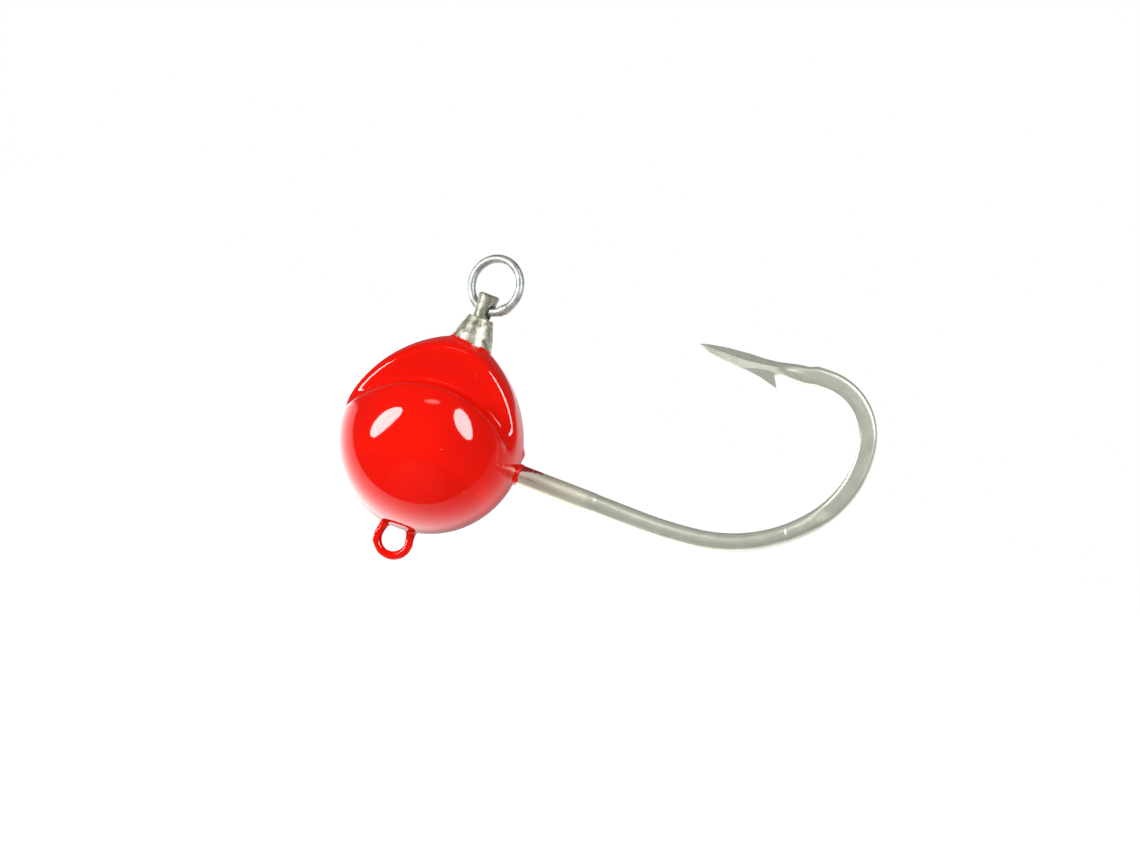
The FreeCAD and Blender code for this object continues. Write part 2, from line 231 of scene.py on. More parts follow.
def metal(name, look):
    # Plated or bare metal: blotchy tone, and a fine grain that roughens and dents it. look
    # gives the colours, the roughness and the real sizes of both marks in millimetres.
    material, tree = newMaterial(name)
    where = addNode(tree, "ShaderNodeTexCoord").outputs["Object"]
    cloud = addNode(tree, "ShaderNodeTexNoise", values={"Scale": perMm(look["cloud"]), "Detail": 4.0},
                    links={"Vector": where})
    blotch = addNode(tree, "ShaderNodeMapRange", values=blotchRange, links={"Value": cloud.outputs["Fac"]})
    grain = addNode(tree, "ShaderNodeTexNoise", values={"Scale": perMm(look["grain"]), "Detail": 3.0},
                    links={"Vector": where})
    colour = addNode(tree, "ShaderNodeMix", {"data_type": "RGBA"},
                     {"A": linear(look["dark"]), "B": linear(look["light"])},
                     {"Factor": blotch.outputs["Result"]})
    rough = addNode(tree, "ShaderNodeMapRange",
                    values={**grainRange, "To Min": look["roughness"][0], "To Max": look["roughness"][1]},
                    links={"Value": grain.outputs["Fac"]})
    bump = addNode(tree, "ShaderNodeBump",
                   values={"Strength": look["bump"], "Distance": look["depth"] * mm},
                   links={"Height": grain.outputs["Fac"]})
    shader = addNode(tree, "ShaderNodeBsdfPrincipled", values={"Metallic": look["metallic"]},
                     links={"Base Color": colour.outputs["Result"], "Roughness": rough.outputs["Result"],
                            "Normal": bump.outputs["Normal"]})
    addNode(tree, "ShaderNodeOutputMaterial", links={"Surface": shader.outputs["BSDF"]})
    return material


def tinnedHookSteel():
    # High-carbon steel wire, forged and hot tinned: warm grey-green white metal with fine
    # lengthwise drawing lines, a dull cross-hatched grip near the head and red overspray.
    # Places along the wire count in millimetres from where it leaves the ball.
    tin = {
        "light": "#F6F8EA", "dark": "#D2D6C2", "cloud": 2.2,
        "metallic": 0.7, "roughness": (0.32, 0.46), "bump": 0.4, "depth": 0.03,
        "drawLine": 0.09, "drawLength": 6.0,
        "grip": "#E4DEC6", "gripTo": 12.6, "gripFade": 0.5, "gripShare": 0.7, "gripRoughness": 0.55,
        "hatch": 0.34, "hatchFrom": (4.0, 6.0), "hatchRise": 0.6,
        "nickAt": 46.5, "nickHalf": 0.16, "nickSlant": 0.5, "nickDrop": -5.0,
    }
    # the film is where its share from the distance, the upper side and the patches passes an edge
    spray = {
        "colour": "#8C1F26", "reach": 6.2, "share": (-0.9, 0.55), "upper": 0.9, "patch": 1.4, "torn": 1.6,
        "edge": (1.28, 1.5),
    }
    material, tree = newMaterial("tinnedHookSteel")
    along = addNode(tree, "ShaderNodeAttribute", {"attribute_name": "along"}).outputs["Fac"]
    around = addNode(tree, "ShaderNodeAttribute", {"attribute_name": "around"}).outputs["Fac"]
    where = addNode(tree, "ShaderNodeTexCoord").outputs["Object"]
    unrolled = addNode(tree, "ShaderNodeCombineXYZ", links={"X": along, "Y": around})
    lines = addNode(tree, "ShaderNodeMapping",
                    values={"Scale": (1 / tin["drawLength"], 1 / tin["drawLine"], 1.0)},
                    links={"Vector": unrolled.outputs["Vector"]})
    drawn = addNode(tree, "ShaderNodeTexNoise", values={"Scale": 1.0, "Detail": 3.0},
                    links={"Vector": lines.outputs["Vector"]})
    cloud = addNode(tree, "ShaderNodeTexNoise", values={"Scale": perMm(tin["cloud"]), "Detail": 5.0},
                    links={"Vector": where})
    colour = addNode(tree, "ShaderNodeMix", {"data_type": "RGBA"},
                     {"A": linear(tin["dark"]), "B": linear(tin["light"])},
                     {"Factor": cloud.outputs["Fac"]})
    gripEnd = addNode(tree, "ShaderNodeMapRange", {"interpolation_type": "SMOOTHSTEP"},
                      {"From Min": tin["gripTo"], "From Max": tin["gripTo"] - tin["gripFade"]},
                      {"Value": along})
    gripShare = addNode(tree, "ShaderNodeMath", {"operation": "MULTIPLY"}, {1: tin["gripShare"]},
                        {0: gripEnd.outputs["Result"]})
    dulled = addNode(tree, "ShaderNodeMix", {"data_type": "RGBA"}, {"B": linear(tin["grip"])},
                     {"A": colour.outputs["Result"], "Factor": gripShare.outputs["Value"]})

    # overspray: a film on the upper side that thins out along the wire
    patch = addNode(tree, "ShaderNodeTexNoise", values={"Scale": perMm(spray["patch"]), "Detail": 4.0},
                    links={"Vector": where})
    upper = addNode(tree, "ShaderNodeMath", {"operation": "SINE"}, links={0: around})
    reach = addNode(tree, "ShaderNodeMapRange", {"clamp": False},
                    {"From Min": spray["reach"], "From Max": 0.0,
                     "To Min": spray["share"][0], "To Max": spray["share"][1]},
                    {"Value": along})
    high = addNode(tree, "ShaderNodeMath", {"operation": "MULTIPLY_ADD"}, {1: spray["upper"]},
                   {0: upper.outputs["Value"], 2: reach.outputs["Result"]})
    torn = addNode(tree, "ShaderNodeMath", {"operation": "MULTIPLY_ADD"}, {1: spray["torn"]},
                   {0: patch.outputs["Fac"], 2: high.outputs["Value"]})
    film = addNode(tree, "ShaderNodeMapRange", {"interpolation_type": "SMOOTHSTEP"},
                   {"From Min": spray["edge"][0], "From Max": spray["edge"][1]},
                   {"Value": torn.outputs["Value"]})
    painted = addNode(tree, "ShaderNodeMix", {"data_type": "RGBA"}, {"B": linear(spray["colour"])},
                      {"A": dulled.outputs["Result"], "Factor": film.outputs["Result"]})
    bare = addNode(tree, "ShaderNodeMath", {"operation": "MULTIPLY_ADD"},
                   {1: -tin["metallic"], 2: tin["metallic"]},
                   {0: film.outputs["Result"]})
    rough = addNode(tree, "ShaderNodeMapRange",
                    values={**grainRange, "To Min": tin["roughness"][0], "To Max": tin["roughness"][1]},
                    links={"Value": drawn.outputs["Fac"]})
    gripRough = addNode(tree, "ShaderNodeMix", {"data_type": "FLOAT"}, {"B": tin["gripRoughness"]},
                        {"Factor": gripShare.outputs["Value"], "A": rough.outputs["Result"]})

    # a nick across the wire where the forging dies began
    slant = addNode(tree, "ShaderNodeMath", {"operation": "MULTIPLY_ADD"},
                    {1: tin["nickSlant"], 2: tin["nickAt"]},
                    {0: upper.outputs["Value"]})
    offNick = addNode(tree, "ShaderNodeMath", {"operation": "SUBTRACT"},
                      links={0: along, 1: slant.outputs["Value"]})
    nearNick = addNode(tree, "ShaderNodeMath", {"operation": "ABSOLUTE"},
                       links={0: offNick.outputs["Value"]})
    nick = addNode(tree, "ShaderNodeMapRange", {"interpolation_type": "SMOOTHSTEP"},
                   {"From Min": tin["nickHalf"], "From Max": 0.0, "To Max": tin["nickDrop"]},
                   {"Value": nearNick.outputs["Value"]})

    # the grip's fine cross lines
    teeth = addNode(tree, "ShaderNodeMath", {"operation": "MULTIPLY"}, {1: 2 * math.pi / tin["hatch"]},
                    {0: along})
    tooth = addNode(tree, "ShaderNodeMath", {"operation": "SINE"}, links={0: teeth.outputs["Value"]})
    hatchStart = addNode(tree, "ShaderNodeMapRange", {"interpolation_type": "SMOOTHSTEP"},
                         {"From Min": tin["hatchFrom"][0], "From Max": tin["hatchFrom"][1]},
                         {"Value": along})
    inGrip = addNode(tree, "ShaderNodeMath", {"operation": "MULTIPLY"},
                     links={0: gripEnd.outputs["Result"], 1: hatchStart.outputs["Result"]})
    hatch = addNode(tree, "ShaderNodeMath", {"operation": "MULTIPLY"},
                    links={0: tooth.outputs["Value"], 1: inGrip.outputs["Value"]})
    marks = addNode(tree, "ShaderNodeMath", {"operation": "ADD"},
                    links={0: drawn.outputs["Fac"], 1: nick.outputs["Result"]})
    height = addNode(tree, "ShaderNodeMath", {"operation": "MULTIPLY_ADD"}, {1: tin["hatchRise"]},
                     {0: hatch.outputs["Value"], 2: marks.outputs["Value"]})
    bump = addNode(tree, "ShaderNodeBump", values={"Strength": tin["bump"], "Distance": tin["depth"] * mm},
                   links={"Height": height.outputs["Value"]})
    shader = addNode(tree, "ShaderNodeBsdfPrincipled",
                     links={"Base Color": painted.outputs["Result"],
                            "Roughness": gripRough.outputs["Result"],
                            "Metallic": bare.outputs["Value"], "Normal": bump.outputs["Normal"]})
    addNode(tree, "ShaderNodeOutputMaterial", links={"Surface": shader.outputs["BSDF"]})
    return material


redCoat = redPowderCoat()
hookSteel = tinnedHookSteel()
# Drawn stainless wire, bent and butt welded: cool grey satin.
ringSteel = metal("drawnStainlessRing", {
    "light": "#D3D8D2", "dark": "#8F9693", "metallic": 0.72, "roughness": (0.46, 0.56), "cloud": 1.8,
    "grain": 0.5, "bump": 0.06, "depth": 0.02})
# Turned brass under a worn nickel plate: yellowish grey with dark blotches.
nickelBrass = metal("nickelPlatedBrass", {
    "light": "#E4E3CF", "dark": "#6F6F5F", "metallic": 0.75, "roughness": (0.38, 0.5), "cloud": 0.9,
    "grain": 0.3, "bump": 0.5, "depth": 0.06})
# Turned stainless steel for both posts and the lower ring: warm grey satin.
postSteel = metal("turnedStainlessPost", {
    "light": "#CFCEBD", "dark": "#77786C", "metallic": 0.72, "roughness": (0.42, 0.54), "cloud": 0.8,
    "grain": 0.18, "bump": 0.3, "depth": 0.04})
# Cast lead alloy: blue-grey, with a dull oxide skin and a coarse chilled grain.
castLead = metal("castLeadAlloy", {
    "light": "#8C9097", "dark": "#5E6269", "metallic": 1.0, "roughness": (0.45, 0.7), "cloud": 3.0,
    "grain": 0.5, "bump": 0.4, "depth": 0.08})
# Hardened and polished chrome steel: bright, smooth balls.
bearingSteel = metal("polishedBearingSteel", {
    "light": "#C9CCCF", "dark": "#A4A7AB", "metallic": 1.0, "roughness": (0.05, 0.12), "cloud": 0.5,
    "grain": 0.08, "bump": 0.05, "depth": 0.01})
print("materials made")


head = {
    "crownRadius": 21.2,
    "crownStart": math.radians(71),  # from the swivel axis
    "cheekHalf": 5.3,
    "archAhead": 0.35,
    "archRadius": 16.7,
    "archHeight": 9.6,
    "archTurn": math.radians(44.5),  # each side, then straight flanks
    "rimRound": 1.1,
    "ridgeRound": 0.7,
    "ridgeFrom": (0.5, 2.5),         # outside the cheeks
    "fillet": (1.0, 3.6),            # at the arch's foot, behind and ahead
    "filletFrom": (9.0, 14.5),
    "wander": 0.015,                 # waviness of the casting
    "wanderSize": 5.0,
    "flash": (15.15, 0.2, 3.3),      # a filed-down sprue beside the shank
    "flashRise": 0.55,
    "flashSize": 0.62,
    "leadInset": 0.4,                # the lead lies this far under the coat's surface
    "bearingRoom": 0.6,              # below the bearing's balls
    "cells": 122,                    # along each side of the cube it is blown from
    "leadCells": 60,
    "search": (5.0, 24.0),           # its surface lies between these distances from the middle
    "halvings": 26,
    "normalStep": 0.02,
}
ballRadius = leadRadius + coatThickness


def roundMax(a, b, radius):
    # the higher of two distances, with their edge rounded to radius
    u, v = np.maximum(radius + a, 0), np.maximum(radius + b, 0)
    return np.minimum(-radius, np.maximum(a, b)) + np.hypot(u, v)


def roundMin(a, b, radius):
    return -roundMax(-a, -b, radius)


def crownDrop(out, z):
    # distance outside the turned ball and crown
    start, crown = head["crownStart"], head["crownRadius"]
    middle = (ballRadius - crown) * np.array([math.sin(start), math.cos(start)])
    return np.where(np.arctan2(out, z) > start, np.hypot(out, z) - ballRadius,
                    np.hypot(out - middle[0], z - middle[1]) - crown)


def headDistance(points):
    # distance outside the painted surface, round the ball's centre, in millimetres
    x, y, z = points.T
    drop = crownDrop(np.hypot(x, y), z)
    ahead = x - head["archAhead"]
    low = z - (head["archHeight"] - head["archRadius"])
    flank = np.abs(ahead) * math.sin(head["archTurn"]) + low * math.cos(head["archTurn"])
    arch = np.where(np.arctan2(np.abs(ahead), low) < head["archTurn"], np.hypot(ahead, low), flank)
    wall = arch - head["archRadius"]
    cheek = np.abs(y) - head["cheekHalf"]
    near, far = head["fillet"]
    fillet = near + (far - near) * smooth(*head["filletFrom"], x) ** 2
    body = roundMin(cheek, wall, fillet)
    edge = head["rimRound"] + (head["ridgeRound"] - head["rimRound"]) * smooth(*head["ridgeFrom"], cheek)
    u, v, w = points.T / head["wanderSize"]
    wave = np.sin(u * 2.1 + 1.3) * np.sin(v * 1.7 + 0.4) + np.sin(w * 2.6 + u)  # any slow uneven wave
    flash = np.exp(-np.sum((points - head["flash"]) ** 2, axis=1) / (2 * head["flashSize"] ** 2))
    return roundMax(drop, body, edge) - head["wander"] * wave - head["flashRise"] * flash


def leadDistance(points):
    # the lead under the coat, hollow where the swivel's bearing turns
    out = np.hypot(points[:, 0] + ballCentre[0], points[:, 1])
    floor = bearingFoot - ballCentre[2] - head["bearingRoom"]
    hollow = np.minimum(barrelRadius - out, points[:, 2] - floor)
    return np.maximum(headDistance(points) + head["leadInset"], hollow)


def cubeSphere(cells):
    # directions on a sphere from an evenly divided cube, and its quads
    side = np.tan(np.linspace(-math.pi / 4, math.pi / 4, cells + 1))
    a, b = np.meshgrid(side, side, indexing="ij")
    one = np.ones_like(a)
    sheets = [(one, a, b), (-one, b, a), (b, one, a), (a, -one, b), (a, b, one), (b, a, -one)]
    points = np.concatenate([np.stack(s, -1).reshape(-1, 3) for s in sheets])
    points /= np.linalg.norm(points, axis=1)[:, None]
    first, where = np.unique(np.round(points, 7), axis=0, return_index=True, return_inverse=True)[1:]
    where = where.reshape(-1)
    faces = []
    step = cells + 1
    for sheet in range(6):
        base = sheet * step * step
        for i in range(cells):
            row = base + i * step
            for j in range(cells):
                faces.append((row + j, row + step + j, row + step + j + 1, row + j + 1))
    faces = where[np.array(faces)]
    return points[first], faces.tolist()


def blownForm(cells, distance):
    # a surface found along rays from the ball's centre
    rays, faces = cubeSphere(cells)
    near, far = (np.full(len(rays), limit) for limit in head["search"])
    for _ in range(head["halvings"]):
        half = (near + far) / 2
        inside = distance(rays * half[:, None]) < 0
        near, far = np.where(inside, half, near), np.where(inside, far, half)
    points = rays * near[:, None]
    shifts = np.eye(3) * head["normalStep"]
    normals = np.stack([distance(points + shift) - distance(points - shift) for shift in shifts], -1)
    normals /= np.linalg.norm(normals, axis=1)[:, None]
    return points, faces, normals


points, faces, normals = blownForm(head["cells"], headDistance)
headCoat = meshPiece("headCoat", points, faces, redCoat, place=ballCentre)
headCoat.data.normals_split_custom_set_from_vertices(normals.tolist())
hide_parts("head_paint")
points, faces, normals = blownForm(head["leadCells"], leadDistance)
leadCore = meshPiece("leadCore", points, faces, castLead, place=ballCentre)
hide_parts("head_core")
print("head coat and lead core made")


# where the coat meets the swivel and the shank: radius of the bar and of the fillet's foot,
# height and raggedness of its edge, and thickness of the film there
skirts = {
    "swivel": {"bar": 3.5, "foot": 4.5, "climb": 0.35, "ragged": 0.35, "film": 0.07, "around": 260},
    "shank": {"bar": 1.73, "foot": 2.15, "climb": 0.45, "ragged": 0.3, "film": 0.1, "around": 160},
}


def crownHeight(a, b):
    # height of the crown over a place beside the swivel's axis
    middle = (ballRadius - head["crownRadius"]) * np.array([math.sin(head["crownStart"]),
                                                            math.cos(head["crownStart"])])
    out = np.hypot(a - ballCentre[0], b)
    return middle[1] + np.sqrt(head["crownRadius"] ** 2 - (out - middle[0]) ** 2)


def ballHeight(a, b):
    return np.sqrt(ballRadius ** 2 - a ** 2 - b ** 2)


def skirt(name, plan, surface, axes, origin):
    # A thin fillet of coat that creeps up a bar and ends in a torn edge. surface gives
    # the head's height beside the bar's axis.
    turn = np.linspace(0, 2 * math.pi, plan["around"], endpoint=False)
    torn = np.array([noise.fractal(Vector((math.cos(t) * 2.6, math.sin(t) * 2.6, plan["bar"])), 0.7, 2.3, 5)
                     for t in turn])
    climb = plan["climb"] + plan["ragged"] * torn
    lip = plan["bar"] + plan["film"]
    level = surface(lip * np.cos(turn), lip * np.sin(turn))
    hollow = 2.2  # above 1 the fillet is hollow, as wet paint draws up
    sections = []
    for part in np.linspace(0, 1, 10):
        out = lip + (plan["foot"] - lip) * (1 - part) ** hollow
        ground = surface(out * np.cos(turn), out * np.sin(turn)) - 0.05
        sections.append((out, ground + (level + climb - ground) * part ** hollow))
    top = sections[-1][1]
    sections.append((plan["bar"] + plan["film"] * 0.6, top + 0.04))
    sections.append((plan["bar"] - 0.1, top - 0.05))
    points = np.concatenate([np.stack([out * np.cos(turn), out * np.sin(turn), up], -1)
                             for out, up in sections])
    points[:, :2] *= (1 + 0.012 * lumps(points, 0.6))[:, None]
    piece = meshPiece(name, points @ np.array(axes) + origin, tubeFaces(len(sections), plan["around"]),
                      redCoat)
    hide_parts("head_paint")


swivelFoot = np.array([0.0, 0.0, ballCentre[2]])
skirt("swivelSkirt", skirts["swivel"], crownHeight, np.eye(3), swivelFoot)


hook = {
    "ringRadius": 3.1,               # the eye inside the lead
    "ringX": 3.8,
    "ringWire": 1.6,
    "shankEnd": 36.9,
    "bend": [(74.6, 7.8), (26.8, 43.3), (17.8, 50.9), (9.65, 79.6), (37.0, 3.4)],
    # half the thickness against the distance along the wire from the ball's centre
    "thickness": [(29.0, 1.73), (29.35, 1.66), (36.0, 1.63), (46.0, 1.57), (60.0, 1.53),
                  (68.0, 1.61), (80.0, 1.63), (100.0, 1.65), (106.0, 1.62)],
    "forged": (62.4, 70.9),          # where the sides go from round to forged flat
    "forgeHalf": 1.15,
    "unforged": 2.6,                 # so wide that the round wire stays round
    "pressedCorner": 8,              # a higher power leaves a sharper corner
    "around": 48,
}
# spear stations: distance ahead of the ball's centre, top, underside, ridge, half width and
# roundness
spear = [
    (54.6, 33.95, 30.82, 32.62, 1.42, 1.0),
    (52.6, 33.62, 30.70, 32.45, 1.42, 0.7),
    (50.6, 33.15, 30.66, 32.15, 1.44, 0.3),
    (49.0, 32.80, 30.58, 31.90, 1.45, 0.05),
    (47.3, 32.60, 30.15, 31.60, 1.46, 0.0),
    (44.5, 32.48, 29.78, 31.22, 1.40, 0.0),
    (41.0, 32.12, 29.98, 31.10, 1.06, 0.0),
    (38.2, 31.64, 30.34, 31.02, 0.60, 0.0),
    (36.8, 31.28, 30.78, 31.02, 0.24, 0.0),
    (36.2, 31.06, 31.02, 31.04, 0.02, 0.0),
]


def pressed(side, flat):
    # sideways places pressed between two dies, with soft corners
    power = hook["pressedCorner"]
    return side / (1 + np.abs(side / flat) ** power) ** (1 / power)


def ringPoints(place, heading, radius, around, flat=None):
    # one section of the wire, pressed flat at the sides where it is forged
    turn = np.linspace(0, 2 * math.pi, around, endpoint=False)
    side = radius * np.cos(turn)
    if flat is not None:
        side = pressed(side, flat)
    inPlane = radius * np.sin(turn)
    normal = np.array([-math.sin(heading), 0, math.cos(heading)])
    return place + np.outer(inPlane, normal) + np.outer(side, [0, -1, 0])


def spearRings(around, start):
    # The wire runs backwards here, so a section's own up is the hook's down.
    heads = np.linspace(0, 2 * math.pi, around, endpoint=False)
    up, side = np.sin(heads), np.cos(heads)
    fine = []
    for a, b in zip(spear, spear[1:]):
        count = max(2, round((a[0] - b[0]) / 0.35))
        fine += [tuple(a[k] + (b[k] - a[k]) * n / count for k in range(6)) for n in range(count)]
    fine.append(spear[-1])
    rings, along = [], []
    for x, top, under, ridge, half, roundness in fine:
        high = np.where(up < 0, top - ridge, ridge - under)
        share = 2 / math.pi * np.arcsin(np.abs(up))
        edged = (ridge - np.sign(up) * share * high, np.sign(side) * (1 - share) * half)
        wire = pressed(side * hook["thickness"][-1][1], hook["forgeHalf"])
        rounded = ((top + under) / 2 - up * (top - under) / 2, wire)
        upward, across = [e * (1 - roundness) + r * roundness for e, r in zip(edged, rounded)]
        rings.append(np.stack([np.full(around, x), -across, upward], -1))
        along.append(np.full(around, start + spear[0][0] - x))
    return rings, along


def wireHook():
    around = hook["around"]
    start = hook["ringX"] + hook["ringRadius"]
    steps = [(hook["shankEnd"] - start, 0)] + hook["bend"]
    places, headings, distances = bendPath((start, 0, 0), 0.0, steps, 0.3)
    rings, along = [], []
    for place, heading, gone in zip(places, headings, start + distances):
        if heading > math.pi / 2 and place[0] < spear[0][0] + 0.3:
            break
        radius = np.interp(gone, *zip(*hook["thickness"]))
        forge = smooth(*hook["forged"], gone)
        flat = hook["unforged"] + (hook["forgeHalf"] - hook["unforged"]) * forge
        rings.append(ringPoints(place, heading, radius, around, flat))
        along.append(np.full(around, gone))
    tipRings, tipAlong = spearRings(around, along[-1][0])
    rings, along = rings + tipRings, np.concatenate(along + tipAlong)
    count = len(rings)
    faces = tubeFaces(count, around)
    faces.append(tuple(range(around - 1, -1, -1)))
    faces.append(tuple((count - 1) * around + j for j in range(around)))
    turn = np.tile(np.linspace(0, 2 * math.pi, around, endpoint=False), count)
    return np.concatenate(rings), faces, along - ballRadius, turn


def torusPoints(radius, wire, around, section):
    # a ring in its own XY plane
    points = []
    for t in np.linspace(0, 2 * math.pi, around, endpoint=False):
        for s in np.linspace(0, 2 * math.pi, section, endpoint=False):
            out = radius + wire * math.cos(s)
            points.append((out * math.cos(t), out * math.sin(t), wire * math.sin(s)))
    return np.array(points), tubeFaces(around, section, closed=True)


# barb stations, from the spear towards the cut: root ahead, root height, root half width,
# edge ahead, edge height
barb = [
    (43.6, 30.90, 0.70, 43.6, 29.86),
    (45.4, 31.00, 0.78, 45.5, 29.70),
    (47.2, 31.05, 0.72, 47.4, 29.47),
    (48.4, 31.05, 0.62, 49.2, 29.02),
    (49.15, 30.95, 0.46, 50.2, 28.74),
    (49.45, 30.72, 0.34, 50.65, 28.62),
]
barbEdgeHalf = 0.03


def splitBarb():
    # The barb is split off the spear's underside and bent down to a sharp lower edge.
    down = [0.0, 0.35, 0.7, 1.0]
    walk = [(-1, part) for part in down] + [(1, part) for part in reversed(down)]
    points = []
    for rootX, rootZ, half, edgeX, edgeZ in barb:
        for side, part in walk:
            width = half * (1 - part) + barbEdgeHalf * part
            points.append((rootX + (edgeX - rootX) * part, side * width, rootZ + (edgeZ - rootZ) * part))
    around = len(walk)
    faces = tubeFaces(len(barb), around)
    faces.append(tuple(range(around - 1, -1, -1)))
    faces.append(tuple((len(barb) - 1) * around + j for j in range(around)))
    return np.array(points), faces


points, faces, along, turn = wireHook()
castEye, castEyeFaces = torusPoints(hook["ringRadius"], hook["ringWire"], 64, 24)
castEye = castEye + [hook["ringX"], 0, 0]
barbPoints, barbFaces = splitBarb()
faces += [tuple(len(points) + i for i in face) for face in castEyeFaces]
faces += [tuple(len(points) + len(castEye) + i for i in face) for face in barbFaces]
# clear of the grip, the nick and the overspray
along = np.concatenate([along, np.full(len(castEye), -9.0), np.full(len(barbPoints), 90.0)])
turn = np.concatenate([turn, np.zeros(len(castEye) + len(barbPoints))])
hookPiece = meshPiece("hookWire", np.concatenate([points, castEye, barbPoints]), faces, hookSteel,
                      sharp=32, attributes={"along": along, "around": turn},
                      place=ballCentre)
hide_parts("hook")
shankAxes = np.array([[0, 1, 0], [0, 0, 1], [1, 0, 0]], float)
skirt("shankSkirt", skirts["shank"], ballHeight, shankAxes, ballCentre)
print("hook made")


eye = {
    "wire": 0.62,
    "loop": 2.7,
    "below": 17.7,
    "lean": 10.0,
    "leg": 6.0,
    "bend": 1.6,
    "foot": 2.2,
    "around": 20,
    "coat": 0.13,
    "coatLeg": 3.0,
    "coatAround": 28,
    "flare": (0.42, 0.3),            # thicker where it leaves the ball, and how fast that fades
    "lumps": ((0.04, 1.1, 3.0), (0.012, 0.5, 9.0)),  # height, size and seed
    "lumpShare": (0.7, 1.9),         # share at the front and at the rear leg
}


def staple(leg, feet, pitch):
    lean, loop = math.radians(eye["lean"]), eye["loop"]
    turn = 180 + 2 * eye["lean"]
    steps = [(leg, 0), (loop, turn), (leg, 0)]
    start = np.array([-loop * math.cos(lean) + leg * math.sin(lean), 0,
                      -eye["below"] + loop * math.sin(lean) + leg * math.cos(lean)])
    heading = -90 - eye["lean"]
    if feet:
        start = start + [-eye["bend"] * math.cos(lean) - eye["foot"], 0, eye["bend"] * (1 + math.sin(lean))]
        outward = (eye["bend"], heading)
        steps = [(eye["foot"], 0), outward] + steps + [outward, (eye["foot"], 0)]
        heading = 0.0
    return bendPath(start, heading, steps, pitch)


def tube(places, headings, radius, around):
    rings = [ringPoints(p, h, r, around) for p, h, r in zip(places, headings, radius)]
    return np.concatenate(rings)


places, headings = staple(eye["leg"], True, 0.2)[:2]
count, around = len(places), eye["around"]
faces = tubeFaces(count, around)
faces.append(tuple(range(around - 1, -1, -1)))
faces.append(tuple((count - 1) * around + j for j in range(around)))
points = tube(places, headings, np.full(count, eye["wire"]), around)
stapleWire = meshPiece("stapleWire", points, faces, ringSteel, place=ballCentre)
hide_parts("assist_eye")

places, headings = staple(eye["coatLeg"], False, 0.12)[:2]
count, around = len(places), eye["coatAround"]
outside = np.linalg.norm(places, axis=1) - ballRadius
rise, fade = eye["flare"]
flare = np.where(outside < 2, rise * np.exp(-np.maximum(outside, 0) / fade), 0)
points = tube(places, headings, eye["wire"] + eye["coat"] + flare, around)
lump = sum(height * lumps(points, size, seed) for height, size, seed in eye["lumps"])
front, rear = eye["lumpShare"]
share = front + (rear - front) * smooth(0.6, -2.4, points[:, 0])
centres = np.repeat(places, around, axis=0)
points = centres + (points - centres) * (1 + lump * share / (eye["wire"] + eye["coat"]))[:, None]
eyeCoat = meshPiece("eyeCoat", points, tubeFaces(count, around), redCoat, place=ballCentre)
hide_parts("head_paint")
print("assist eye made")


ring = {
    "radius": 4.5,
    "wire": 0.71,
    "weldAt": math.radians(-44),
    "weldHalf": math.radians(13),
    "weldRise": 0.2,
    "around": 200,
    "section": 28,
}


def weldedRing():
    middle = (ringLow + ringHigh) / 2
    pivot = np.array([0.0, 0.0, ringJoint["pos_m"][2] / mm])
    upward = (middle - pivot) / np.linalg.norm(middle - pivot)
    across = np.cross(np.cross(upward, ringJoint["axis"]), upward)
    across /= np.linalg.norm(across)
    side = np.cross(across, upward)
    turns = np.linspace(0, 2 * math.pi, ring["around"], endpoint=False)
    points = []
    for t in turns:
        gap = math.remainder(t - ring["weldAt"], 2 * math.pi) / ring["weldHalf"]
        bead = ring["weldRise"] * math.exp(-gap ** 4) * (1 + 0.25 * math.sin(gap * 9))
        outward = across * math.cos(t) + upward * math.sin(t)
        for s in np.linspace(0, 2 * math.pi, ring["section"], endpoint=False):
            rough = noise.noise(Vector((t * 9, s, 0))) * 0.35
            wire = ring["wire"] + bead * (0.75 + rough)
            out = ring["radius"] + wire * math.cos(s)
            points.append(middle + outward * out + side * wire * math.sin(s))
    return np.array(points)


faces = tubeFaces(ring["around"], ring["section"], closed=True)
lineRing = meshPiece("lineRing", weldedRing(), faces, ringSteel, body="ring")
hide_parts("line_ring")
print("line ring made")


def finish(node, material):
    piece = frame["nodes"][node]
    piece.data.materials.clear()
    piece.data.materials.append(material)


for node in frame["nodes"]:
    if node.startswith("bearing_ball"):
        finish(node, bearingSteel)
for node in ("swivel_barrel", "swivel_nose"):
    finish(node, nickelBrass)
for node in ("swivel_post", "tail_post", "tail_ring"):
    finish(node, postSteel)


view = {
    "azimuth": 3.0,
    "elevation": 3.0,
    "roll": 20.8,
    "distance": 0.40,
    "lens": 76.0,
    "aim": np.array([21.02, 0.0, 10.4]),  # millimetres from the ball's centre
}


def viewAxes():
    a, e, r = (math.radians(view[k]) for k in ("azimuth", "elevation", "roll"))
    back = Vector((math.sin(a) * math.cos(e), -math.cos(a) * math.cos(e), math.sin(e)))
    right = Vector((math.cos(a), math.sin(a), 0))
    up = back.cross(right)
    return (right * math.cos(r) + up * math.sin(r), up * math.cos(r) - right * math.sin(r), back)


right, up, back = viewAxes()
aim = Vector((ballCentre + view["aim"]) * mm)
camera = bpy.data.objects.new("camera", bpy.data.cameras.new("camera"))
bpy.context.scene.collection.objects.link(camera)
camera.data.lens = view["lens"]
camera.data.sensor_width = 36.0
camera.data.clip_start = 0.01
turned = Matrix((right, up, back)).transposed().to_4x4()
camera.matrix_world = Matrix.Translation(aim + back * view["distance"]) @ turned
bpy.context.scene.camera = camera

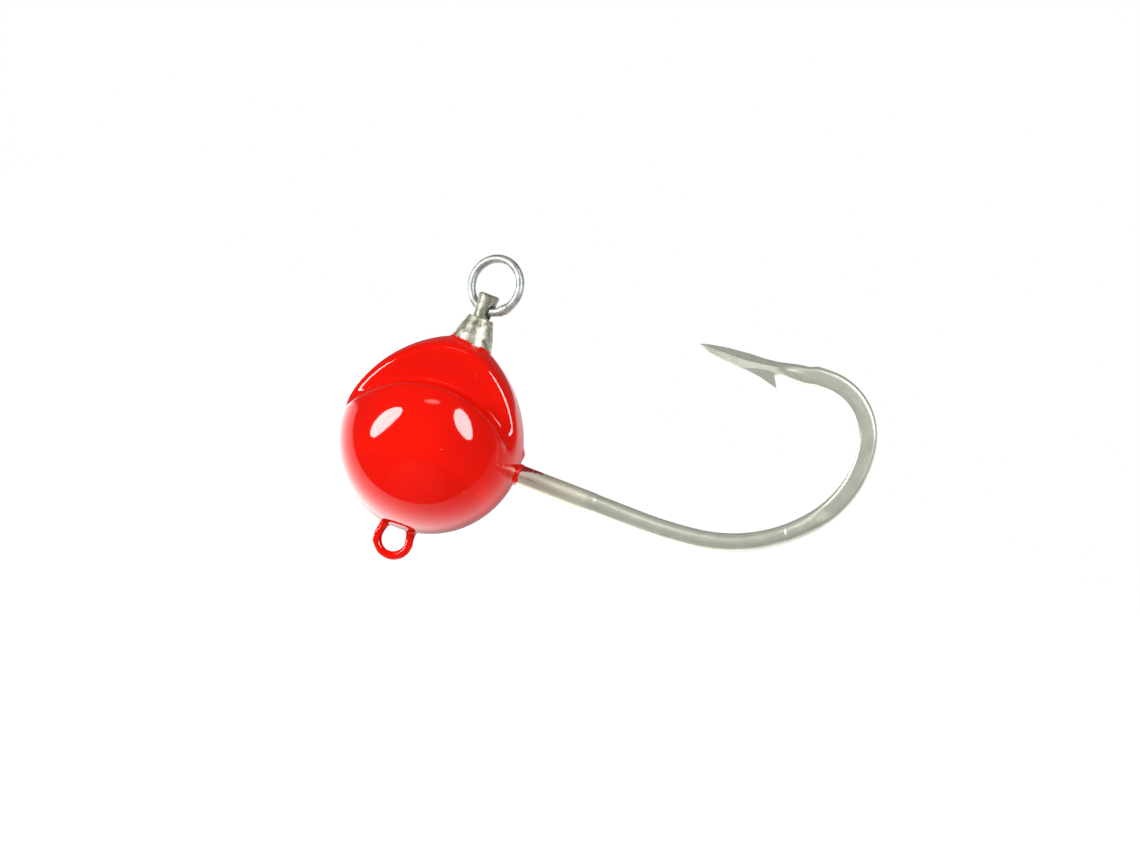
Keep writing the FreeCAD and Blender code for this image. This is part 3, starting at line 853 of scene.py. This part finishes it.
# softboxes: direction from the head as (right, up, towards the camera), their long axis,
# width and height in metres half a metre away, and radiance
softboxes = {
    "keyLeft": {"towards": (-0.783, 0.361, 0.507),
                "long": (0.36, 0.62, 0.46), "size": (0.41, 0.155), "bright": 14.5},
    "keyRight": {"towards": (0.685, 0.292, 0.667),
                 "long": (0.36, -0.70, -0.13), "size": (0.30, 0.14), "bright": 13.0},
    "fillBelow": {"towards": (-0.25, -0.80, 0.55),
                  "long": (1.0, 0.0, 0.0), "size": (0.60, 0.60), "bright": 2.9},
    "topWindow": {"towards": (0.06, 0.705, 0.705),
                  "long": (1.0, -0.28, 0.0), "size": (0.16, 0.032), "bright": 2.6},
}


def fromView(parts):
    # a direction given as (right, up, towards the camera)
    return right * parts[0] + up * parts[1] + back * parts[2]


def softbox(name, plan, reach=0.5):
    direction = fromView(plan["towards"]).normalized()
    longAxis = fromView(plan["long"])
    longAxis = (longAxis - direction * longAxis.dot(direction)).normalized()
    lamp = bpy.data.lights.new(name, "AREA")
    lamp.shape = "ELLIPSE"
    lamp.size, lamp.size_y = plan["size"]
    lamp.energy = plan["bright"] * math.pi * lamp.size * lamp.size_y
    holder = bpy.data.objects.new(name, lamp)
    holder.visible_glossy = name != "fillBelow"  # the fill only lifts the shadows
    bpy.context.scene.collection.objects.link(holder)
    place = Vector(ballCentre * mm) + direction * reach
    turn = Matrix((longAxis, direction.cross(longAxis), direction)).transposed().to_4x4()
    holder.matrix_world = Matrix.Translation(place) @ turn


for name, plan in softboxes.items():
    softbox(name, plan)


def surroundings():
    # White paper below, beside and behind, brightest on the left; a dim room above and on
    # the viewer's side.
    room = {
        "paper": (0.118, -0.270, -0.956), "ceiling": (0.15, 1.0, 0.0), "side": (1.0, 0.0, 0.0),
        "dim": 0.09, "backdrop": 1.0,
    }
    ramps = [
        # towards, from, to, strength there and there
        ("paper", 0.12, 0.18, 0.0, 1.0),
        ("paper", 0.18, 0.85, 0.45, 1.4),
        ("paper", 0.82, 1.00, 1.0, 0.22),
        ("ceiling", 0.21, 0.28, 1.0, 0.04),
        ("side", -0.90, 0.90, 2.8, 0.5),
    ]
    world = bpy.data.worlds.new("paperTent")
    bpy.context.scene.world = world
    world.use_nodes = True
    tree = world.node_tree
    tree.nodes.clear()
    where = addNode(tree, "ShaderNodeTexCoord").outputs["Generated"]
    strength = None
    for towards, low, high, start, end in ramps:
        reach = addNode(tree, "ShaderNodeVectorMath", {"operation": "DOT_PRODUCT"},
                        {1: tuple(fromView(room[towards]))}, {0: where})
        part = addNode(tree, "ShaderNodeMapRange", {"interpolation_type": "SMOOTHSTEP"},
                       {"From Min": low, "From Max": high, "To Min": start, "To Max": end},
                       {"Value": reach.outputs["Value"]}).outputs["Result"]
        if strength is not None:
            part = addNode(tree, "ShaderNodeMath", {"operation": "MULTIPLY"},
                           links={0: strength, 1: part}).outputs["Value"]
        strength = part
    bright = addNode(tree, "ShaderNodeMath", {"operation": "ADD"}, {1: room["dim"]}, {0: strength})
    tent = addNode(tree, "ShaderNodeBackground", values={"Color": (1, 1, 1, 1)},
                   links={"Strength": bright.outputs["Value"]})
    backdrop = addNode(tree, "ShaderNodeBackground",
                       values={"Color": (1, 1, 1, 1), "Strength": room["backdrop"]})
    seen = addNode(tree, "ShaderNodeLightPath").outputs["Is Camera Ray"]
    mixed = addNode(tree, "ShaderNodeMixShader",
                    links={0: seen, 1: tent.outputs[0], 2: backdrop.outputs[0]})
    addNode(tree, "ShaderNodeOutputWorld", links={"Surface": mixed.outputs[0]})


def paperFloor():
    material, tree = newMaterial("whitePaperFloor")
    shader = addNode(tree, "ShaderNodeBsdfPrincipled",
                     values={"Base Color": linear("#F4F4F2"), "Roughness": 0.9,
                             "Emission Color": (1, 1, 1, 1), "Emission Strength": 0.9})
    addNode(tree, "ShaderNodeOutputMaterial", links={"Surface": shader.outputs["BSDF"]})
    size, height = 1.5, cadBox[0].z - 0.02
    mesh = bpy.data.meshes.new("floor")
    corners = [(a * size, b * size, height) for a, b in ((-1, -1), (1, -1), (1, 1), (-1, 1))]
    mesh.from_pydata(corners, [], [(0, 1, 2, 3)])
    floor = bpy.data.objects.new("floor", mesh)
    mesh.materials.append(material)
    bpy.context.scene.collection.objects.link(floor)
    floor.visible_glossy = False
    floor.visible_diffuse = False


surroundings()
paperFloor()
bpy.context.scene.view_settings.view_transform = "Standard"
print("stage set")
